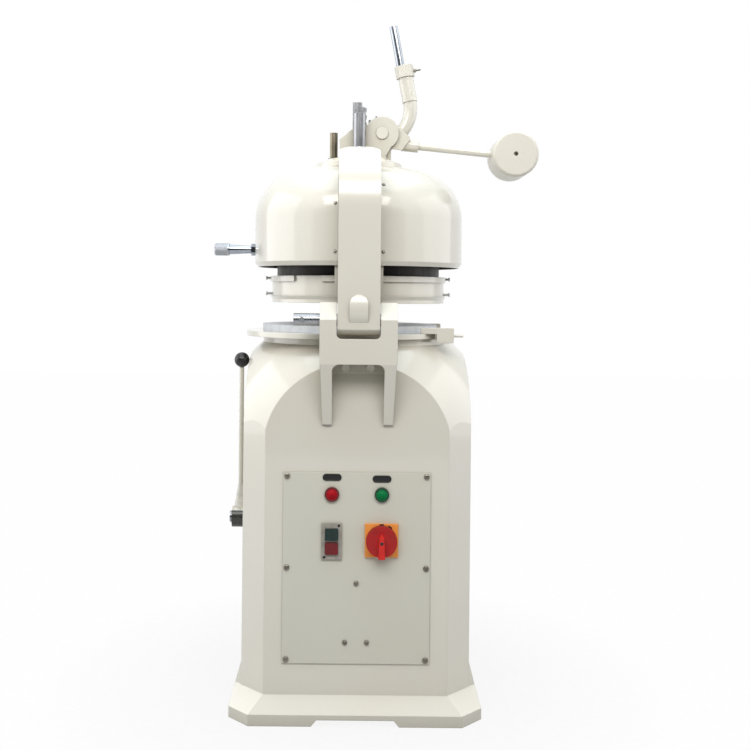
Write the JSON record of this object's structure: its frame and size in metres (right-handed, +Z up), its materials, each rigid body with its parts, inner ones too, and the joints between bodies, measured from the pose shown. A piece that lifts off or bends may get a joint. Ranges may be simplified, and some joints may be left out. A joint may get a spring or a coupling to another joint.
{
  "type": "dough divider rounder",
  "caption": "Free-standing dough divider rounder: chamfered cast base, tilting domed press head with rack and counterweighted lever, orbiting table and control panel.",
  "frame": {"origin": "centre of the foot on the floor, on the axis of the round table and press head", "axes": "+Z up; -Y faces the control panel and hinge side that the picture shows; +X to that view's right"},
  "size_m": [0.7003, 0.561, 1.4256],
  "materials": {
    "cream_paint": "gloss cream-white paint",
    "panel_paint": "satin cream-white paint",
    "bright_steel": "turned and ground",
    "chrome": "bright plated",
    "dark_casting": "dark grey",
    "drum_metal": "dark anodised",
    "bronze": "machined",
    "black_plastic": "gloss moulded",
    "grey_plastic": "moulded",
    "red_plastic": "moulded",
    "green_plastic": "moulded",
    "orange_plastic": "moulded",
    "red_lens": "translucent",
    "green_lens": "translucent",
    "plate_plastic": "food-grade plastic",
    "belt_rubber": "ribbed rubber"
  },
  "bodies": {
    "base": {"base_casting": "cream_paint", "control_panel": "panel_paint", "panel_screws": "chrome", "pilot_lamps": "grey_plastic", "red_lens": "red_lens", "green_lens": "green_lens", "switch_box": "grey_plastic", "isolator_plate": "orange_plastic", "isolator_body": "black_plastic", "hinge_bracket": "cream_paint", "bracket_bolts": "bright_steel", "hinge_pin": "bright_steel", "main_bearing": "dark_casting", "lower_bridge": "dark_casting", "motor": "dark_casting", "motor_plate": "bright_steel", "v_belt": "belt_rubber", "lever_bush": "bronze"},
    "start_button": {"start_button": "green_plastic"},
    "stop_button": {"stop_button": "red_plastic"},
    "isolator_knob": {"isolator_knob": "red_plastic"},
    "crank": {"crank_shaft": "bright_steel", "drive_pulley": "dark_casting"},
    "shift_collar": {"shift_collar": "bright_steel"},
    "idler_left": {"idler_crank_left": "bright_steel"},
    "idler_right": {"idler_crank_right": "bright_steel"},
    "motor_rotor": {"motor_pulley": "bright_steel"},
    "table": {"rounding_table": "cream_paint", "stop_blocks": "cream_paint"},
    "dough_plate": {"dough_plate": "plate_plastic"},
    "rounding_lever": {"lever_hub": "cream_paint", "lever_rod": "chrome", "ball_knob": "black_plastic", "shift_fork": "bright_steel"},
    "head": {"head_arm": "cream_paint", "dome_cover": "cream_paint", "dome_screws": "chrome", "turret": "cream_paint", "guide_bushes": "bronze", "cheek_plates": "cream_paint", "stud_post": "bright_steel", "lock_sleeve": "chrome"},
    "lock_pin": {"lock_knob": "chrome"},
    "press_head": {"rack": "bright_steel", "guide_rods": "bright_steel", "drum": "drum_metal", "press_disc": "drum_metal", "cutter_ring": "cream_paint", "ring_screws": "chrome", "press_pads": "grey_plastic"},
    "knife_set": {"knife_set": "bright_steel"},
    "press_lever": {"pinion": "bright_steel", "lever_yoke": "cream_paint", "lever_elbow": "cream_paint", "lever_sleeve": "cream_paint", "lever_collar": "cream_paint", "handle_bar": "chrome", "counterweight_rod": "cream_paint", "counterweight": "cream_paint"}
  },
  "joints": [
    {"name": "head_tilt", "type": "hinge", "parent": "base", "child": "head", "pos_m": [0, -0.264, 0.788], "axis": [1, 0, 0], "range_deg": [0, 75]},
    {"name": "press_lever", "type": "hinge", "parent": "head", "child": "press_lever", "pos_m": [0.049, 0, 1.187], "axis": [0, -1, 0], "range_deg": [0, 70]},
    {"name": "press_slide", "type": "slide", "parent": "head", "child": "press_head", "axis": [0, 0, -1], "range_m": [0, 0.046]},
    {"name": "knife_slide", "type": "slide", "parent": "press_head", "child": "knife_set", "axis": [0, 0, -1], "range_m": [0, 0.0141]},
    {"name": "lock_pull", "type": "slide", "parent": "head", "child": "lock_pin", "axis": [-1, 0, 0], "range_m": [0, 0.012], "stiffness_N_per_m": 600, "springref_m": -0.004},
    {"name": "crank_spin", "type": "hinge", "parent": "base", "child": "crank", "pos_m": [0, 0, 0.6], "axis": [0, 0, 1], "continuous": true},
    {"name": "table_orbit", "type": "hinge", "parent": "crank", "child": "table", "pos_m": [-0.017, 0, 0.74], "axis": [0, 0, 1], "continuous": true},
    {"name": "idler_left_spin", "type": "hinge", "parent": "base", "child": "idler_left", "pos_m": [-0.11, 0.1, 0.7], "axis": [0, 0, 1], "continuous": true},
    {"name": "idler_right_spin", "type": "hinge", "parent": "base", "child": "idler_right", "pos_m": [0.11, 0.1, 0.7], "axis": [0, 0, 1], "continuous": true},
    {"name": "motor_spin", "type": "hinge", "parent": "base", "child": "motor_rotor", "pos_m": [0, 0.15, 0.45], "axis": [0, 0, 1], "continuous": true},
    {"name": "plate_slide", "type": "slide", "parent": "table", "child": "dough_plate", "axis": [-1, 0, 0], "range_m": [0, 0.45]},
    {"name": "rounding_lever", "type": "hinge", "parent": "base", "child": "rounding_lever", "pos_m": [-0.25, -0.06, 0.36], "axis": [1, 0, 0], "range_deg": [0, 24]},
    {"name": "collar_slide", "type": "slide", "parent": "crank", "child": "shift_collar", "axis": [0, 0, 1], "range_m": [0, 0.0255]},
    {"name": "start_press", "type": "slide", "parent": "base", "child": "start_button", "axis": [0, 1, 0], "range_m": [0, 0.004], "stiffness_N_per_m": 400, "springref_m": -0.001},
    {"name": "stop_press", "type": "slide", "parent": "base", "child": "stop_button", "axis": [0, 1, 0], "range_m": [0, 0.004], "stiffness_N_per_m": 400, "springref_m": -0.001},
    {"name": "isolator_turn", "type": "hinge", "parent": "base", "child": "isolator_knob", "pos_m": [0.049, -0.2375, 0.3555], "axis": [0, -1, 0], "range_deg": [0, 60]}
  ],
  "couplings": [
    {"joint": "press_slide", "follows": "press_lever", "m_per_rad": 0.0375},
    {"joint": "knife_slide", "follows": "press_lever", "m_per_rad": 0.01145},
    {"joint": "table_orbit", "follows": "crank_spin", "ratio": -1},
    {"joint": "idler_left_spin", "follows": "crank_spin", "ratio": 1},
    {"joint": "idler_right_spin", "follows": "crank_spin", "ratio": 1},
    {"joint": "motor_spin", "follows": "crank_spin", "ratio": 3},
    {"joint": "collar_slide", "follows": "rounding_lever", "m_per_rad": 0.06}
  ]
}
